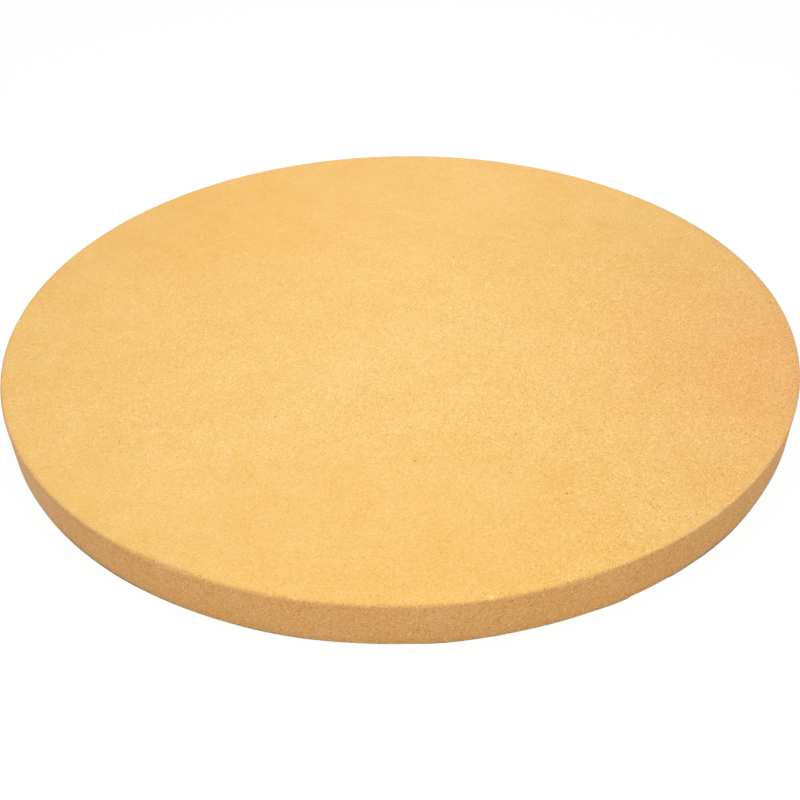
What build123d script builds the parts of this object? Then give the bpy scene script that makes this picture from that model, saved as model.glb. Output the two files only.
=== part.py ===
from build123d import *
import os

# Round pizza stone: one slab of grogged cordierite clay, pressed in a steel die and fired
# without glaze. Millimetres, +Z up. The origin is the middle of the underside.

# Overall sizes
stone_diameter = 355.6      # 14 in across the side wall
stone_thickness = 19.05     # 3/4 in from the underside to the baking face

# Rim of the baking face, where the die releases the clay
rim_width = 6.0             # ring in which the face falls away, measured in from the side wall
rim_fall = 0.15             # drop of the face across that ring

# Roundings left by the die and by wiping the raw edges
baking_edge_radius = 1.5    # between the rim and the side wall
resting_edge_radius = 0.5   # between the side wall and the underside


def rounded_corner(section, height, radius):
    # Round the corner that stands on the side wall at this height of the half section.
    wall_point = (stone_diameter / 2, height)
    corner = section.vertices().sort_by_distance(wall_point)[0]
    return fillet(corner, radius)


def make_stone_slab():
    # Half section, from the axis out: local X is the radius, local Y the height.
    wall = stone_diameter / 2
    rim_height = stone_thickness - rim_fall
    outline = Polyline(
        (0, 0),
        (wall, 0),
        (wall, rim_height),
        (wall - rim_width, stone_thickness),
        (0, stone_thickness),
        close=True,
    )
    section = make_face(outline)
    section = rounded_corner(section, 0, resting_edge_radius)
    section = rounded_corner(section, rim_height, baking_edge_radius)
    return revolve(Plane.XZ * section, Axis.Z)


os.makedirs("parts", exist_ok=True)
export_step(make_stone_slab(), "parts/stone_slab.step")
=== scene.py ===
import math

import bmesh
import bpy
from mathutils import Euler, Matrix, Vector, noise


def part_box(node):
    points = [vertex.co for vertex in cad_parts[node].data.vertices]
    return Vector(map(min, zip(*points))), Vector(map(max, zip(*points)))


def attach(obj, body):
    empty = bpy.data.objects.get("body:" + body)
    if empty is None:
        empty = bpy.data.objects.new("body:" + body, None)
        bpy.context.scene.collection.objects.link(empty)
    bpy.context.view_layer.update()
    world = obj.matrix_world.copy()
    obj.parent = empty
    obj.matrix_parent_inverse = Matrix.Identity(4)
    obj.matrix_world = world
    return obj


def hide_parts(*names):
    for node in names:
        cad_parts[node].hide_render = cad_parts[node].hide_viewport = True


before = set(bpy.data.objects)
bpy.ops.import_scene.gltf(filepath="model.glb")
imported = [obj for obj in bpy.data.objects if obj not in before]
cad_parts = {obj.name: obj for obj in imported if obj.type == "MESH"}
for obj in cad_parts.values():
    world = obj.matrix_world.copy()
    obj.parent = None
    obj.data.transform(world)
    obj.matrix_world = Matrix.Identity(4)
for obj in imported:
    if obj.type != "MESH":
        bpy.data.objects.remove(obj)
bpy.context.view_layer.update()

mm = 0.001  # one millimetre in Blender's metres
slabLow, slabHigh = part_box("stone_slab")
slabRadius = (slabHigh.x - slabLow.x) / 2
slabThickness = slabHigh.z - slabLow.z


# Camera, at the photograph's place and angle

photoCamera = {
    "lens": 41.85,  # mm
    "sensor": 36.0,  # mm across
    "near": 0.01,  # metres, from where it sees
    "place": (0.0, -0.37096, 0.2509),  # metres
    "down": 35.92,  # degrees below the horizon
    "turn": 0.02,  # degrees to the right
    "roll": -1.06,  # degrees, the picture's left side sinks
    "shift": -0.0375,  # the photograph's frame sits a little below the lens axis
}


def makeCamera():
    camera = bpy.data.objects.new("photoCamera", bpy.data.cameras.new("photoCamera"))
    bpy.context.scene.collection.objects.link(camera)
    camera.data.lens = photoCamera["lens"]
    camera.data.sensor_width = photoCamera["sensor"]
    camera.data.shift_y = photoCamera["shift"]
    camera.location = photoCamera["place"]
    tilt = Euler((math.radians(90 - photoCamera["down"]), 0, -math.radians(photoCamera["turn"])))
    roll = Euler((0, 0, math.radians(photoCamera["roll"])))
    camera.rotation_euler = (tilt.to_matrix() @ roll.to_matrix()).to_euler()
    camera.data.clip_start = photoCamera["near"]
    bpy.context.scene.camera = camera
    print("camera placed")


# Material nodes from Python: an expression on Wires adds Math nodes, and Recipe.node adds any other

class Wire:
    def __init__(self, socket):
        self.socket = socket

    def maths(self, operation, first, second):
        node = self.socket.id_data.nodes.new("ShaderNodeMath")
        node.operation = operation
        plug(node.inputs[0], first)
        plug(node.inputs[1], second)
        return Wire(node.outputs[0])

    def __add__(self, other):
        return self.maths("ADD", self, other)

    def __radd__(self, other):
        return self.maths("ADD", other, self)

    def __sub__(self, other):
        return self.maths("SUBTRACT", self, other)

    def __rsub__(self, other):
        return self.maths("SUBTRACT", other, self)

    def __mul__(self, other):
        return self.maths("MULTIPLY", self, other)

    def __rmul__(self, other):
        return self.maths("MULTIPLY", other, self)


def plug(socket, value):
    if isinstance(value, Wire):
        socket.id_data.links.new(value.socket, socket)
    else:
        socket.default_value = value


class Recipe:
    def __init__(self, owner):
        owner.use_nodes = True
        self.tree = owner.node_tree
        self.tree.nodes.clear()

    def node(self, kind, settings, inputs, output):
        made = self.tree.nodes.new(kind)
        for name, value in settings.items():
            setattr(made, name, value)
        sockets = {s.identifier: s for s in made.inputs}
        for name, value in inputs.items():
            plug(sockets[name], value)
        return Wire({s.identifier: s for s in made.outputs}[output]) if output else made

    def noise(self, place, kind):
        # lumps of a kind, with finer ones on them, from about -0.5 to 0.5
        if "shift" in kind:
            place = self.shift(place, kind["shift"])
        inputs = {"Vector": place, "Scale": 1 / kind["size"], "Detail": kind["detail"],
                  "Roughness": kind["rough"]}
        return self.node("ShaderNodeTexNoise", {}, inputs, "Fac") - 0.5

    def cells(self, place, size):
        # grains about size across: how far it is to a grain's middle, and a number from 0 to 1 of its own
        grain = self.node("ShaderNodeTexVoronoi", {}, {"Vector": place, "Scale": 1 / size}, None)
        return Wire(grain.outputs["Distance"]), self.part(Wire(grain.outputs["Color"]), "X")

    def dots(self, place, kind, soft):
        # round dots of up to a radius, in a share of the cells that are spacing across
        away, own = self.cells(place, kind["spacing"])
        reach = self.ramp(own, 1 - kind["share"], 1.0) * (kind["radius"] / kind["spacing"])
        return self.ramp(away - reach, 0.0, -soft * kind["radius"] / kind["spacing"])

    def spot(self, place, centre, radius, soft=1.0):
        # one round spot, which fades over the soft share of its radius
        inputs = {"Vector": place, "Vector_001": centre}
        away = self.node("ShaderNodeVectorMath", {"operation": "DISTANCE"}, inputs, "Value")
        return self.ramp(away, radius, radius * (1 - soft))

    def zone(self, measures, ranges):
        # where each of the named measures is within its range
        share = 1.0
        for name, (start, full) in ranges.items():
            share = self.ramp(measures[name], start, full) * share
        return share

    def ramp(self, value, start, end):
        # a smooth step from 0 to 1 as value goes from start to end
        inputs = {"Value": value, "From Min": start, "From Max": end}
        return self.node("ShaderNodeMapRange", {"interpolation_type": "SMOOTHSTEP"}, inputs, "Result")

    def mix(self, factor, first, second, blend="MIX"):
        settings = {"data_type": "RGBA", "blend_type": blend}
        inputs = {"Factor_Float": factor, "A_Color": first, "B_Color": second}
        return self.node("ShaderNodeMix", settings, inputs, "Result_Color")

    def lift(self, colour, amount, gains):
        # amount above 0 lightens a colour and below 0 darkens it, red, green and blue by their own gains
        inputs = {"Vector": gains, "Vector_001": amount, "Vector_002": (1, 1, 1)}
        factors = self.node("ShaderNodeVectorMath", {"operation": "MULTIPLY_ADD"}, inputs, "Vector")
        return self.mix(1.0, colour, factors, "MULTIPLY")

    def shift(self, place, by):
        # the same pattern from another stretch of it
        inputs = {"Vector": place, "Vector_001": (by, by, by)}
        return self.node("ShaderNodeVectorMath", {"operation": "ADD"}, inputs, "Vector")

    def part(self, vector, axis):
        return self.node("ShaderNodeSeparateXYZ", {}, {"Vector": vector}, axis)

    def grey(self, value):
        inputs = {"Red": value, "Green": value, "Blue": value}
        return self.node("ShaderNodeCombineColor", {}, inputs, "Color")


# The stone's finish: grogged clay, fired bare. Sizes in millimetres, colours linear

stoneFinish = {
    "face": (0.925, 0.560, 0.174, 1),
    "wall": (0.920, 0.485, 0.160, 1),  # the pressed side is a little browner
    # lumps: their size across, how many finer sizes lie on them (detail) and how strong those are
    # (rough), how far off in the pattern they are taken (shift), and what they do to the colour:
    # tone is how far they lighten and darken it, gains are tones for red, green and blue
    "clouds": {"size": 60.0, "detail": 3.0, "rough": 0.6, "tone": 0.04},
    "blushes": {"size": 9.0, "detail": 3.0, "rough": 0.8, "tone": 0.04},
    "grain": {"size": 1.2, "detail": 2.0, "rough": 1.0, "tone": 0.06},
    # up and down the side wall
    "streaks": {"size": 3.0, "detail": 2.0, "rough": 0.7, "tone": 0.08, "squeeze": (1.0, 1.0, 0.12)},
    # from yellowish to whitish pink, and from brownish to whitish
    "hues": {"size": 7.0, "detail": 3.0, "rough": 0.8, "shift": 120, "gains": (0.08, 0.10, 0.55)},
    "mottles": {"size": 26.0, "detail": 3.0, "rough": 0.6, "shift": 200, "gains": (0.05, 0.17, 0.42)},
    "warm": {"size": 8.0, "detail": 3.0, "rough": 0.8, "shift": 40, "tint": (1.0, 0.97, 0.95, 1)},
    "olive": {"size": 6.0, "detail": 3.0, "rough": 0.8, "shift": 80, "tint": (0.98, 1.0, 0.95, 1)},
    "tintRange": (-0.08, 0.16),  # where in their lumps warm and olive start, and where they are full
    "waver": {"size": 4.0, "detail": 2.0, "rough": 0.5},  # of the zones above the underside
    "grit": {"size": 0.42, "tone": 0.35},  # single grains, each in its own shade
    "grainGains": (0.65, 1.0, 1.75),  # a lighter grain is whiter too
    "dotShift": 20,  # in the pattern, from one kind of standing grain to the next
    "dotSoft": 0.35,  # the share of its radius over which a standing grain fades
    # depth is in Blender's metres, and grain and grit are how much of each goes into the bumps
    "bump": {"strength": 0.15, "depth": 0.15 * mm, "grain": 0.8, "grit": 0.2},
    "roughness": 0.85,
    "specular": 0.5,
}

# Grains that stand out, as dots scattered through the clay
grains = [
    {"spacing": 1.6, "radius": 0.36, "share": 0.38, "tint": (0.68, 0.65, 0.51, 1)},  # dark
    {"spacing": 1.9, "radius": 0.38, "share": 0.38, "tint": (1.07, 1.19, 1.52, 1)},  # pale
    {"spacing": 7.0, "radius": 1.9, "share": 0.45, "tint": (1.02, 1.05, 1.28, 1)},  # crushed old stone
    {"spacing": 30.0, "radius": 0.6, "share": 0.5, "tint": (0.36, 0.30, 0.26, 1)},  # iron
]

# Where the finish changes, and where shade and shadow are painted into it. A range runs from where
# the change starts to where it is full: inset from the side wall, below the baking face, above the
# underside, x or y, or wall, which is 0 on the flat faces and 1 on the side wall
whereWall = {"below": (0.25, 0.75), "inset": (5.0, 3.0)}
# how much stronger or weaker the grain's tone is; the first entry, stronger towards the right, is painted
# shading of the grain's relief as under grazing light
grainContrastAndShade = [
    {"where": {"x": (-60, 160)}, "by": 0.35},
    {"where": {"y": (0, 130), "wall": (1, 0)}, "by": -0.45},
    {"where": {"y": (-85, -125), "x": (95, 35), "wall": (1, 0)}, "by": -0.36},
    {"where": {"y": (-70, -100), "x": (50, 90), "wall": (1, 0)}, "by": -0.15},
    {"where": {"x": (-95, -130), "wall": (1, 0)}, "by": -0.12},
    {"where": {"wall": (0, 1)}, "by": 0.3},
]
zones = [
    {"where": {"inset": (6.6, 5.8), "wall": (1, 0), "y": (-150, -165)}, "tint": (1.01, 1.02, 1.0, 1)},
    {"where": {"inset": (6.6, 5.8), "wall": (1, 0), "x": (130, 168)}, "tint": (0.98, 0.95, 0.98, 1)},
    {"where": {"inset": (2.2, 1.0), "wall": (1, 0), "x": (60, 110)}, "tint": (0.99, 1.0, 1.13, 1)},
    # painted shade: the rim darker towards the back, where the rounded edge turns away from the light
    {"where": {"inset": (3.0, 1.2), "wall": (1, 0), "y": (-20, 40)}, "tint": (0.91, 0.96, 1.0, 1)},
    {"where": {"wall": (0, 1), "y": (-158, -115)}, "tint": (1.0, 1.03, 1.12, 1)},
    {"where": {"wall": (0, 1), "y": (-158, -115), "x": (0, -120)}, "tint": (1.0, 1.03, 1.22, 1)},
    # painted shadow: the top of the wall darker just under the baking edge, at the left
    {"where": {"wall": (0, 1), "below": (4.0, 2.0), "x": (-20, -80)}, "tint": (0.93, 0.96, 1.0, 1)},
    # painted shade: the wall darker towards the bottom, where less light reaches near the floor
    {"where": {"wall": (0, 1), "above": (4.0, 1.5)}, "tint": (0.90, 0.96, 0.98, 1)},
    {"where": {"wall": (0, 1), "above": (3.0, 1.0), "y": (-165, -145)}, "tint": (0.96, 0.99, 1.12, 1)},
    # painted shadow: a dark line at the foot of the wall, where it meets the floor
    {"where": {"wall": (0, 1), "above": (0.9, 0.3)}, "tint": (0.70, 0.74, 0.86, 1)},
    # painted shadow where the wall meets the floor: a darker heel where the lower edge is sharp, at the front
    # left and the front right
    {"where": {"above": (1.3, 0.8), "x": (-70, -82), "y": (-118, -134)}, "tint": (0.58, 0.60, 0.66, 1)},
    {"where": {"above": (1.3, 0.8), "x": (82, 94), "y": (-112, -126)}, "tint": (0.64, 0.66, 0.72, 1)},
]

# Broad tints on the baking face, at x and y, which fade over all of their radius; one is painted shade
faceTintsAndShade = [
    {"at": (-100, 110), "radius": 120, "tint": (0.99, 0.94, 0.85, 1)},  # yellower, back left
    {"at": (-10, -55), "radius": 130, "tint": (1.0, 1.04, 1.11, 1)},  # paler, middle
    # painted shade: browner towards the right, away from the light
    {"at": (170, -50), "radius": 130, "tint": (1.0, 0.90, 0.95, 1)},  # browner, right
    {"at": (10, -175), "radius": 120, "tint": (1.0, 0.98, 0.90, 1)},  # yellower, front
    {"at": (80, 150), "radius": 90, "tint": (1.03, 1.02, 1.04, 1)},  # paler, back right
]

# The few single marks that catch the eye, at x and y. Marks of one kind share a size and a tint
marks = [
    # faint stains
    {"radius": 10.0, "soft": 1.0, "tint": (0.985, 0.94, 0.89, 1),
     "places": [(60, -120), (90, 80), (110, 80), (-90, -15)]},
    # pits: dark spots painted as the shade inside small pits, which neither the mesh nor the bump has
    {"radius": 0.6, "soft": 0.6, "tint": (0.55, 0.50, 0.42, 1),
     "places": [(5, -109), (59, -128), (-72, 2), (-50, -81)]},
    # pale grog
    {"radius": 1.5, "soft": 0.6, "tint": (1.04, 1.07, 1.55, 1),
     "places": [(12, -112), (-7, -90), (47, -152), (-66, -102)]},
    # pale grains on the edge
    {"radius": 1.3, "soft": 0.6, "tint": (1.10, 1.22, 1.60, 1),
     "places": [(28, -174.5), (-43, -171.5), (-35, -174)]},
]


def firedCordierite():
    f = stoneFinish
    material = bpy.data.materials.new("firedCordierite")
    recipe = Recipe(material)
    metres = recipe.node("ShaderNodeTexCoord", {}, {}, "Object")
    inputs = {"Vector": metres, "Scale": 1 / mm}
    place = recipe.node("ShaderNodeVectorMath", {"operation": "SCALE"}, inputs, "Vector")
    inputs = {"Vector": place, "Vector_001": (1, 1, 0)}
    level = recipe.node("ShaderNodeVectorMath", {"operation": "MULTIPLY"}, inputs, "Vector")
    reach = recipe.node("ShaderNodeVectorMath", {"operation": "LENGTH"}, {"Vector": level}, "Value")
    measures = {
        "inset": slabRadius / mm - reach,
        "below": slabThickness / mm - recipe.part(place, "Z"),
        "above": recipe.part(place, "Z") + recipe.noise(place, f["waver"]),
        "x": recipe.part(place, "X"),
        "y": recipe.part(place, "Y"),
    }
    measures["wall"] = recipe.zone(measures, whereWall)

    clouds = recipe.noise(place, f["clouds"]) * f["clouds"]["tone"]
    blushes = recipe.noise(place, f["blushes"]) * f["blushes"]["tone"]
    hues = recipe.noise(place, f["hues"])
    mottles = recipe.noise(place, f["mottles"])
    grain = recipe.noise(place, f["grain"])
    grit = recipe.cells(place, f["grit"]["size"])[1] * 2.0 - 1.0
    grit = grit * grit * grit * grit * grit  # few grains are much paler or darker than the rest
    strength = 1.0
    # grain strength, partly painted shading of relief towards the right
    for change in grainContrastAndShade:
        strength = recipe.zone(measures, change["where"]) * change["by"] + strength
    tone = clouds + blushes + (grain * f["grain"]["tone"] + grit * f["grit"]["tone"]) * strength
    inputs = {"Vector": place, "Vector_001": f["streaks"]["squeeze"]}
    upright = recipe.node("ShaderNodeVectorMath", {"operation": "MULTIPLY"}, inputs, "Vector")
    streaks = recipe.noise(upright, f["streaks"]) * f["streaks"]["tone"]
    tone = tone + streaks * measures["wall"]

    colour = recipe.mix(measures["wall"], f["face"], f["wall"])
    # tints by zone: some are the clay's own, several are painted shade and shadow
    for zone in zones:
        colour = recipe.mix(recipe.zone(measures, zone["where"]), colour, zone["tint"], "MULTIPLY")
    for name in ("warm", "olive"):
        found = recipe.ramp(recipe.noise(place, f[name]), *f["tintRange"])
        colour = recipe.mix(found, colour, f[name]["tint"], "MULTIPLY")
    colour = recipe.lift(colour, hues, f["hues"]["gains"])
    colour = recipe.lift(colour, mottles, f["mottles"]["gains"])
    colour = recipe.lift(colour, tone, f["grainGains"])
    for number, kind in enumerate(grains):
        found = recipe.dots(recipe.shift(place, f["dotShift"] * number), kind, f["dotSoft"])
        colour = recipe.mix(found * strength, colour, kind["tint"], "MULTIPLY")
    # broad tints on the face, the browner one at the right painted shade
    for patch in faceTintsAndShade:
        found = recipe.spot(place, (*patch["at"], slabThickness / mm), patch["radius"])
        colour = recipe.mix(found * (1.0 - measures["wall"]), colour, patch["tint"], "MULTIPLY")
    for mark in marks:
        for spot in mark["places"]:
            found = recipe.spot(place, (*spot, slabThickness / mm), mark["radius"], mark["soft"])
            colour = recipe.mix(found, colour, mark["tint"], "MULTIPLY")

    bump = f["bump"]
    height = grain * bump["grain"] + grit * bump["grit"]
    inputs = {"Strength": bump["strength"], "Distance": bump["depth"], "Height": height}
    normal = recipe.node("ShaderNodeBump", {}, inputs, "Normal")
    shader = recipe.node("ShaderNodeBsdfPrincipled", {}, {
        "Base Color": colour,
        "Roughness": f["roughness"],
        "Specular IOR Level": f["specular"],
        "Normal": normal,
    }, "BSDF")
    recipe.node("ShaderNodeOutputMaterial", {}, {"Surface": shader}, None)
    print("material firedCordierite made")
    return material


# The stone's shape. Bearings are degrees round from the front, to the right

stoneShape = {
    "faceCells": 180,  # squares across the baking face
    "underCells": 60,  # squares across the underside
    "segments": 1440,  # steps round the rim, a multiple of 4 times both of the above
    "wallSteps": 12,
    "bakingSteps": 7,  # in the rounding at the baking face
    "restingSteps": 4,  # and at the underside
    "gridGap": 1.5 * mm,  # from the baking face's grid out to the rim
    "rimRings": (0.25, 0.45, 0.6, 0.72),  # on the rim, as shares of its width
    "underRings": (2 * mm, 4 * mm),  # on the underside, in from the wall
    "weld": 0.03 * mm,  # points that are nearer than this become one
    "rimWidth": 6.0 * mm,
    "rimFall": 0.15 * mm,
    "bakingEdge": 1.5 * mm,  # radius of the rounding at the baking face
    "restingEdge": 0.5 * mm,  # and at the underside
    "skin": 0.03 * mm,  # how far inside the drawn wall the outermost points start
    "oval": 0.15 * mm,  # how much further in the outline lies at the sides than in front
    # lumps: how deep they go, their size across, and where in the pattern they are (seed)
    "sway": {"depth": 0.10 * mm, "size": 0.5, "seed": 7},  # of the outline, size in slab radii
    "dish": {"depth": 0.12 * mm, "size": 70 * mm, "seed": 3},  # of the baking face
    "wallRelief": {"depth": 0.08 * mm, "size": 2.6 * mm, "seed": 11},
    "faceDepth": 0.5 * mm,  # points that are this near the top have the dish
    "wallDepth": 0.2 * mm,  # points that are this near the wall have its relief
    "reliefFade": (0.5 * mm, 2.5 * mm),  # from an edge: where the relief starts and is full
    "swayFade": (14 * mm, 2 * mm),  # in from the wall: where sway, oval and leans start and are full
    "leanFade": (8 * mm, 1 * mm),  # down from the baking face: where a lean starts and is full
    "bluntFade": 5 * mm,  # how far past its rounding a blunter edge fades out
    "crumble": 0.32 * mm,  # the deepest that grains have broken from the baking edge
    "crumbleReach": 0.5 * mm,  # how far past the rounding's radius they break
    "crumbleBelow": 0.3,  # the share of that depth at the underside's edge
    "crumbleGrain": [
        {"share": 0.6, "size": 2.7 * mm, "seed": 19},
        {"share": 0.4, "size": 1.3 * mm, "seed": 23},
    ],
    "whole": {"bearings": (6, 24, 110, 140), "share": 0.75},  # how much less has broken there
}
cornerMiddle = 0.3  # how far a rounding's middle lies from both of its sides, in radii
slant = 0.7  # how much of a cut at 45 degrees goes in from the wall, and as much from the face

# Where an edge is blunter or sharper than drawn: bearings at which that starts, is full, begins to
# fade and is gone, and what it adds to the rounding's radius
edgeWear = [
    {"edge": "baking", "bearings": (-52, -45, -38, -33), "radius": -0.4 * mm},
    {"edge": "baking", "bearings": (-33, -27, -24, -20), "radius": 0.9 * mm},
    {"edge": "baking", "bearings": (-13, -10, -6, -1), "radius": -0.4 * mm},
    {"edge": "baking", "bearings": (1, 5, 14, 18), "radius": -0.4 * mm},
    {"edge": "baking", "bearings": (19, 27, 110, 140), "radius": -0.75 * mm},
    {"edge": "resting", "bearings": (-52, -45, -35, -28), "radius": -0.45 * mm},
    {"edge": "resting", "bearings": (-20, -15, -12, -7), "radius": -0.3 * mm},
    {"edge": "resting", "bearings": (-7.5, -5.5, 0, 2), "radius": 0.2 * mm},
    {"edge": "resting", "bearings": (1, 3.3, 4.5, 8), "radius": -0.4 * mm},
    {"edge": "resting", "bearings": (8, 13, 31.2, 31.7), "radius": 0.45 * mm},
    {"edge": "resting", "bearings": (20.5, 24.2, 25.4, 25.8), "radius": -0.65 * mm},
    {"edge": "resting", "bearings": (35.5, 37.5, 41.5, 46), "radius": -0.4 * mm},
    {"edge": "resting", "bearings": (43, 53, 57, 67), "radius": 1.4 * mm},
]

# Where the wall leans in towards the baking face: bearings as above, and how far at the top
leans = [
    {"bearings": (-31, -26, -6, 2), "inward": 0.3 * mm},
    {"bearings": (12, 19, 28, 35), "inward": 0.3 * mm},
]

# Crumbs left standing on the baking edge
crumbs = [
    {"bearing": -11.3, "length": 1.0 * mm, "height": 0.35 * mm},
    {"bearing": 9.2, "length": 0.9 * mm, "height": 0.25 * mm},
]


def freeEdges(bm):
    return [e for e in bm.edges if e.is_boundary]


def discGrid(bm, cells, radius, height):
    # a square grid whose rings of squares become rings of a disc
    made = bmesh.ops.create_grid(bm, x_segments=cells, y_segments=cells, size=radius)
    for v in made["verts"]:
        x, y = v.co.x, v.co.y
        if abs(x) >= abs(y) and x != 0:
            turn = math.pi / 4 * y / x
            v.co = (x * math.cos(turn), x * math.sin(turn), height)
        elif y != 0:
            turn = math.pi / 4 * x / y
            v.co = (y * math.sin(turn), y * math.cos(turn), height)
        else:
            v.co.z = height
    # a set has no order of its own, so the list takes the mesh's, the same each run
    own = {e for v in made["verts"] for e in v.link_edges}
    ring = [e for e in freeEdges(bm) if e in own]
    bmesh.ops.subdivide_edges(bm, edges=ring, cuts=stoneShape["segments"] // (4 * cells) - 1)


def corner(radius, height, rounding, steps, side):
    # (radius, height) of a quarter round, from a level face out to the wall
    points = []
    for step in range(steps + 1):
        turn = math.pi / 2 * step / steps
        points.append((radius - rounding * (1 - math.sin(turn)),
                       height + side * rounding * (1 - math.cos(turn))))
    return points


def wallSection():
    # (radius, height) from the baking face's grid, over the rim and down the wall, to the underside's
    s = stoneShape
    radius, thickness = slabRadius - s["skin"], slabThickness
    rimHeight = thickness - s["rimFall"]
    section = [(radius - s["rimWidth"], thickness)]
    for share in s["rimRings"]:
        section.append((radius - s["rimWidth"] * (1 - share), thickness - s["rimFall"] * share))
    section += corner(radius, rimHeight, s["bakingEdge"], s["bakingSteps"], -1)
    top, bottom = rimHeight - s["bakingEdge"], s["restingEdge"]
    for step in range(1, s["wallSteps"]):
        share = step / s["wallSteps"]
        share = (share + (1 - math.cos(math.pi * share)) / 2) / 2  # closer steps near the edges
        section.append((radius, top + (bottom - top) * share))
    section += corner(radius, 0.0, s["restingEdge"], s["restingSteps"], 1)[::-1]
    section += [(radius - inset, 0.0) for inset in s["underRings"]]
    return section


def ringOut(bm, ring, fromRadius, toRadius, rise):
    made = bmesh.ops.extrude_edge_only(bm, edges=ring)["geom"]
    points = [g for g in made if isinstance(g, bmesh.types.BMVert)]
    bmesh.ops.scale(bm, vec=(toRadius / fromRadius, toRadius / fromRadius, 1), verts=points)
    bmesh.ops.translate(bm, vec=(0, 0, rise), verts=points)
    return [g for g in made if isinstance(g, bmesh.types.BMEdge)]


def ease(value, start, end):
    share = min(max((value - start) / (end - start), 0.0), 1.0)
    return share * share * (3 - 2 * share)


def lumps(place, kind):
    # smooth lumps of a kind, from 0 to 1
    return 0.5 + 0.5 * noise.noise(place / kind["size"] + Vector((kind["seed"],) * 3))


def bell(distance, length):
    return math.exp(-2.0 * (distance / length) ** 2)


def stretch(bearing, bearings):
    return ease(bearing, bearings[0], bearings[1]) * ease(bearing, bearings[3], bearings[2])


def blunt(gap, rounding, more):
    # how much further a point goes from the corner when its rounding's radius grows by more
    return more * min(gap / rounding, 1.0) * (1 - ease(gap, rounding, rounding + stoneShape["bluntFade"]))


def weather(bm):
    # what pressing, drying and firing do to the drawn shape
    s = stoneShape
    swayStart, swayFull = [slabRadius - inset for inset in s["swayFade"]]
    leanStart, leanFull = [slabThickness - depth for depth in s["leanFade"]]
    for v in bm.verts:
        place = v.co.copy()
        radius = math.hypot(place.x, place.y)
        if place.z > slabThickness - s["faceDepth"]:
            v.co.z -= s["dish"]["depth"] * lumps(place, s["dish"])
        if radius < swayStart:
            continue
        outward = Vector((place.x, place.y, 0)) / radius
        bearing = math.degrees(math.atan2(place.x, -place.y))
        upper = place.z > slabThickness / 2
        edge, inside = ("baking", -1) if upper else ("resting", 1)
        rounding = s[edge + "Edge"]
        # how far in from the wall, and how far along it from this edge's corner
        inset = max(slabRadius - s["skin"] - radius, 0.0)
        along = max(slabThickness - s["rimFall"] - place.z if upper else place.z, 0.0)
        more = sum(w["radius"] * stretch(bearing, w["bearings"]) for w in edgeWear if w["edge"] == edge)
        middle = cornerMiddle * rounding
        nearEdge = bell(math.hypot(inset - middle, along - middle), s["crumbleReach"] + rounding)
        broken = sum(g["share"] * lumps(place, g) ** 2 for g in s["crumbleGrain"])
        cut = s["crumble"] * broken * nearEdge
        cut *= 1 - s["whole"]["share"] * stretch(bearing, s["whole"]["bearings"])
        if upper:
            for crumb in crumbs:
                aside = math.radians(bearing - crumb["bearing"]) * slabRadius
                cut -= crumb["height"] * nearEdge * bell(aside, crumb["length"])
        else:
            cut *= s["crumbleBelow"]
        inward = s["sway"]["depth"] * lumps(outward, s["sway"]) + s["oval"] * outward.x ** 4
        lean = sum(w["inward"] * stretch(bearing, w["bearings"]) for w in leans)
        inward += lean * ease(place.z, leanStart, leanFull)
        inward *= ease(radius, swayStart, swayFull)
        if inset < s["wallDepth"]:
            relief = s["wallRelief"]["depth"] * lumps(place, s["wallRelief"])
            inward += relief * ease(along, *s["reliefFade"])
        v.co -= outward * (inward + blunt(inset, rounding, more) + slant * cut)
        v.co.z += inside * (blunt(along, rounding, more) + slant * cut)


def makeStone():
    s = stoneShape
    bm = bmesh.new()
    startRadius = slabRadius - s["skin"] - s["rimWidth"] - s["gridGap"]
    discGrid(bm, s["faceCells"], startRadius, slabThickness)
    ring = freeEdges(bm)
    lastRadius, lastHeight = startRadius, slabThickness
    for radius, height in wallSection():
        ring = ringOut(bm, ring, lastRadius, radius, height - lastHeight)
        lastRadius, lastHeight = radius, height
    # the underside's grid has its rim points where the last ring has its own, so they weld
    discGrid(bm, s["underCells"], lastRadius, 0.0)
    bmesh.ops.remove_doubles(bm, verts=bm.verts, dist=s["weld"])
    weather(bm)
    bmesh.ops.recalc_face_normals(bm, faces=bm.faces)
    for face in bm.faces:
        face.smooth = True
    mesh = bpy.data.meshes.new("stoneSlab")
    bm.to_mesh(mesh)
    bm.free()
    stone = bpy.data.objects.new("stoneSlab", mesh)
    bpy.context.scene.collection.objects.link(stone)
    mesh.materials.append(firedCordierite())
    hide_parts("stone_slab")
    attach(stone, "root")
    print("stone made,", len(mesh.vertices), "points")


# Floor and light

studio = {
    "floorSize": 8.0,  # metres, like the lamp's place and lengths
    "floorDrop": 0.2 * mm,  # clear of the underside
    "floorColour": 0.68,  # what the stone gets back from the floor
    "floorShade": 0.08,  # and how much of its shadow the lens sees
    "floorWhite": 0.94,
    "skyLight": 0.58,
    "lampPlace": (-0.015, -0.05, 0.40),
    "lampWidth": 0.16,
    "lampLength": 1.0,
    "lampPower": 1.25,  # watts
}


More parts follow.
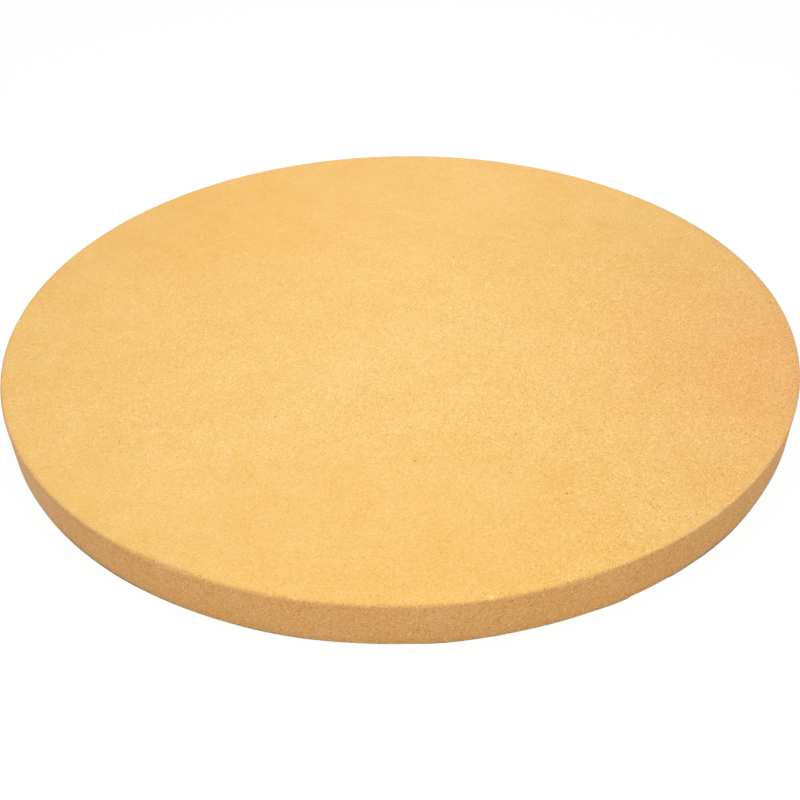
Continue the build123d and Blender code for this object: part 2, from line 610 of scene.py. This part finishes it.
def lensRay(recipe):
    # 1 for a ray from the lens, off a gloss or through glass, else 0
    rays = recipe.node("ShaderNodeLightPath", {}, {}, None)
    lens, gloss, glass = [Wire(rays.outputs[kind]) for kind in
                          ("Is Camera Ray", "Is Glossy Ray", "Is Transmission Ray")]
    return lens.maths("MAXIMUM", lens, lens.maths("MAXIMUM", gloss, glass))


def makeFloor():
    bm = bmesh.new()
    bmesh.ops.create_grid(bm, x_segments=1, y_segments=1, size=studio["floorSize"] / 2)
    bmesh.ops.translate(bm, vec=(0, 0, -studio["floorDrop"]), verts=bm.verts)
    mesh = bpy.data.meshes.new("studioFloor")
    bm.to_mesh(mesh)
    bm.free()
    floor = bpy.data.objects.new("studioFloor", mesh)
    bpy.context.scene.collection.objects.link(floor)
    material = bpy.data.materials.new("studioFloor")
    recipe = Recipe(material)
    seen = lensRay(recipe)
    shade = recipe.grey(seen * (studio["floorShade"] - studio["floorColour"]) + studio["floorColour"])
    matt = recipe.node("ShaderNodeBsdfDiffuse", {}, {"Color": shade}, "BSDF")
    white = recipe.node("ShaderNodeEmission", {}, {"Strength": seen * studio["floorWhite"]}, "Emission")
    both = recipe.node("ShaderNodeAddShader", {}, {"Shader": matt, "Shader_001": white}, "Shader")
    recipe.node("ShaderNodeOutputMaterial", {}, {"Surface": both}, None)
    mesh.materials.append(material)
    print("floor made")


def makeLight():
    world = bpy.data.worlds.new("studioSky")
    bpy.context.scene.world = world
    recipe = Recipe(world)
    strength = lensRay(recipe) * (1.0 - studio["skyLight"]) + studio["skyLight"]
    sky = recipe.node("ShaderNodeBackground", {}, {"Color": (1, 1, 1, 1), "Strength": strength}, "Background")
    recipe.node("ShaderNodeOutputWorld", {}, {"Surface": sky}, None)
    # a strip box hung low along Y, so that its light falls off to both sides
    lamp = bpy.data.objects.new("stripLamp", bpy.data.lights.new("stripLamp", "AREA"))
    bpy.context.scene.collection.objects.link(lamp)
    lamp.data.shape = "RECTANGLE"
    lamp.data.size = studio["lampWidth"]
    lamp.data.size_y = studio["lampLength"]
    lamp.data.energy = studio["lampPower"]
    lamp.location = studio["lampPlace"]
    print("light made")


makeCamera()
makeStone()
makeFloor()
makeLight()
bpy.context.scene.view_settings.view_transform = "Standard"
